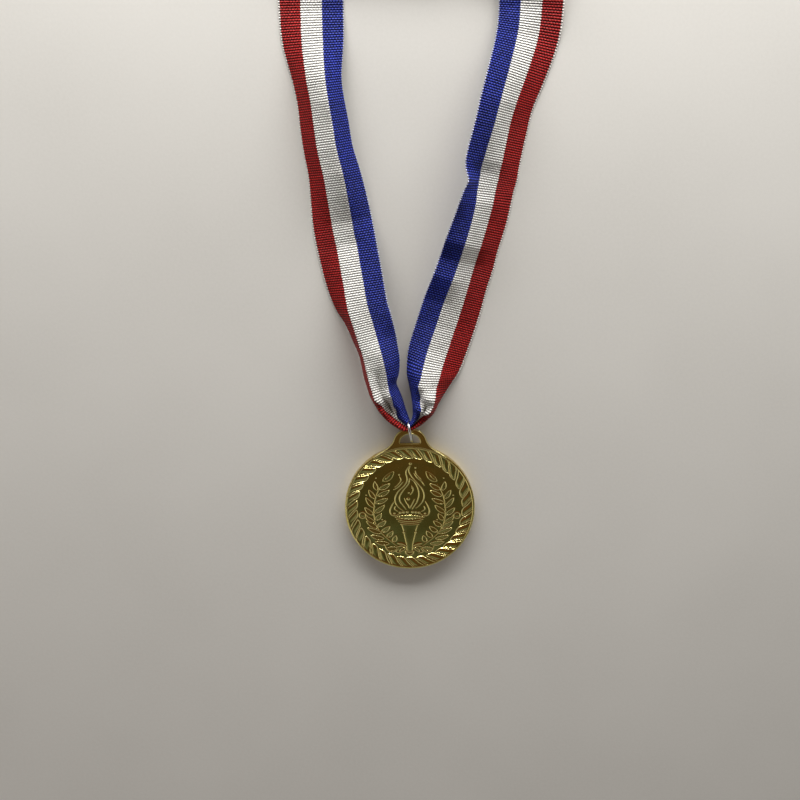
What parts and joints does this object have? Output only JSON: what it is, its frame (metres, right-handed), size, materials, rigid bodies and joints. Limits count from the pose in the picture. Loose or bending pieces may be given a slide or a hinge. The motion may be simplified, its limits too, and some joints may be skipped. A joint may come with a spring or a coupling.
{
  "type": "award medal",
  "caption": "Round relief award medal with a lug, hung by a jump ring from a striped neck ribbon that is gathered through the ring and folded up beyond its legs.",
  "frame": {"origin": "centre of the medal's flat back, on the plane the object lies on", "axes": "+Z out of the medal's struck face, +Y from the medal towards its ribbon, +X to the right seen from the face"},
  "size_m": [0.099, 0.2449, 0.0149],
  "materials": {
    "gold": "bright gold plate over a struck alloy",
    "steel": "polished nickel plated wire",
    "ribbon": "ribbed woven red, white and blue stripes",
    "tie": "plain woven tape",
    "thread": "spun polyester thread"
  },
  "bodies": {
    "ribbon": {"ribbon_left_leg": "ribbon", "ribbon_right_leg": "ribbon", "ribbon_bight": "ribbon", "ribbon_hank": "ribbon", "hank_tie": "tie", "seam_thread": "thread"},
    "jump_ring": {"jump_ring": "steel"},
    "medal": {"medal": "gold"}
  },
  "joints": [
    {"name": "ring_spin", "type": "hinge", "parent": "ribbon", "child": "jump_ring", "pos_m": [0, 0.0317, 0.00455], "axis": [0.9816, 0.1908, 0], "continuous": true},
    {"name": "medal_swing", "type": "hinge", "parent": "ribbon", "child": "medal", "pos_m": [0, 0.0317, 0.00455], "axis": [-1, 0, 0], "range_deg": [0, 120]}
  ]
}
